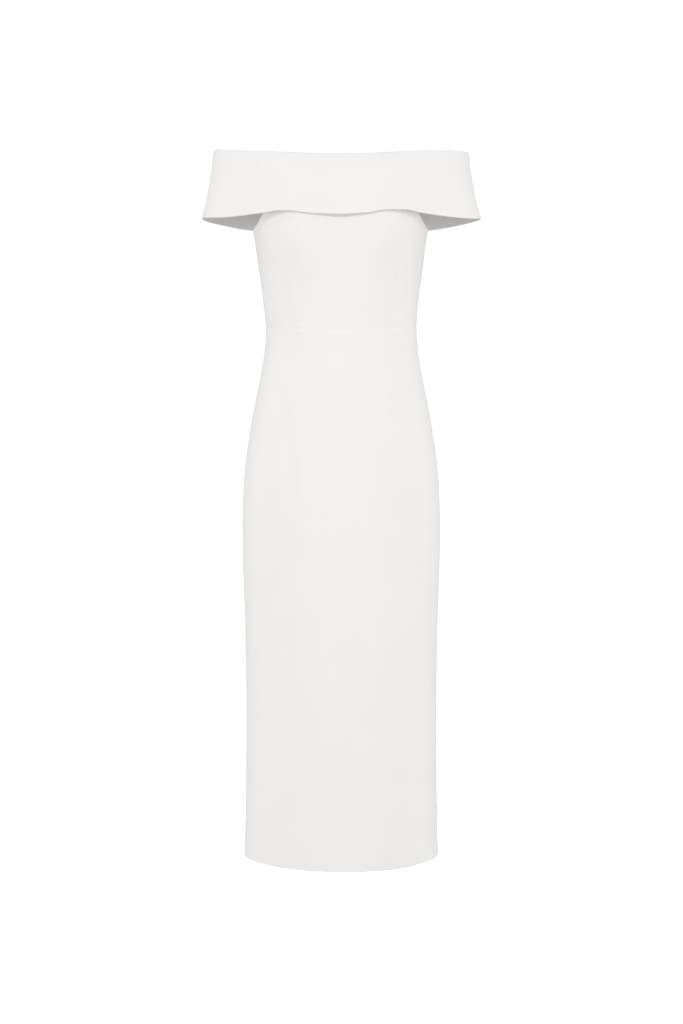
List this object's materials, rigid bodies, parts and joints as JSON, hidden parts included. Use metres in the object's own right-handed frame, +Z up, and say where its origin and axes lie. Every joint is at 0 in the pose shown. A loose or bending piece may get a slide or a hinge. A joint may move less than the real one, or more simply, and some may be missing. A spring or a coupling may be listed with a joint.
{
  "type": "off-shoulder dress",
  "caption": "Fitted off-shoulder dress with a folded-over band round the upper arms, a waist seam and a straight skirt to the lower calf, in worn form with no wearer.",
  "frame": {"origin": "where the wearer holds the dress: on its middle line, level with the underarm seams", "axes": "+Z up, -Y the front, +X the dress's own left side"},
  "size_m": [0.4704, 0.2478, 1.1969],
  "materials": {
    "bodice_front_centre": "smooth ivory-white crepe, matt",
    "bodice_front_left": "smooth ivory-white crepe, matt",
    "bodice_front_right": "smooth ivory-white crepe, matt",
    "bodice_back_left": "smooth ivory-white crepe, matt",
    "bodice_back_right": "smooth ivory-white crepe, matt",
    "skirt_front": "smooth ivory-white crepe, matt",
    "skirt_back_left": "smooth ivory-white crepe, matt",
    "skirt_back_right": "smooth ivory-white crepe, matt",
    "band_front": "smooth ivory-white crepe, matt",
    "band_back_left": "smooth ivory-white crepe, matt",
    "band_back_right": "smooth ivory-white crepe, matt",
    "zip_tape": "white woven tape with a nylon coil",
    "zip_slider": "white enamel",
    "zip_pull_tab": "white enamel"
  },
  "bodies": {
    "dress": {"bodice_front_centre": "bodice_front_centre", "bodice_front_left": "bodice_front_left", "bodice_front_right": "bodice_front_right", "bodice_back_left": "bodice_back_left", "bodice_back_right": "bodice_back_right", "skirt_front": "skirt_front", "skirt_back_left": "skirt_back_left", "skirt_back_right": "skirt_back_right", "band_front": "band_front", "band_back_left": "band_back_left", "band_back_right": "band_back_right", "zip_tape": "zip_tape", "zip_slider": "zip_slider"},
    "zip_pull": {"zip_pull_tab": "zip_pull_tab"}
  },
  "joints": [
    {"name": "zip_pull_hinge", "type": "hinge", "parent": "dress", "child": "zip_pull", "pos_m": [0, 0.09671, 0.101], "axis": [1, 0, 0], "range_deg": [0, 150]}
  ]
}
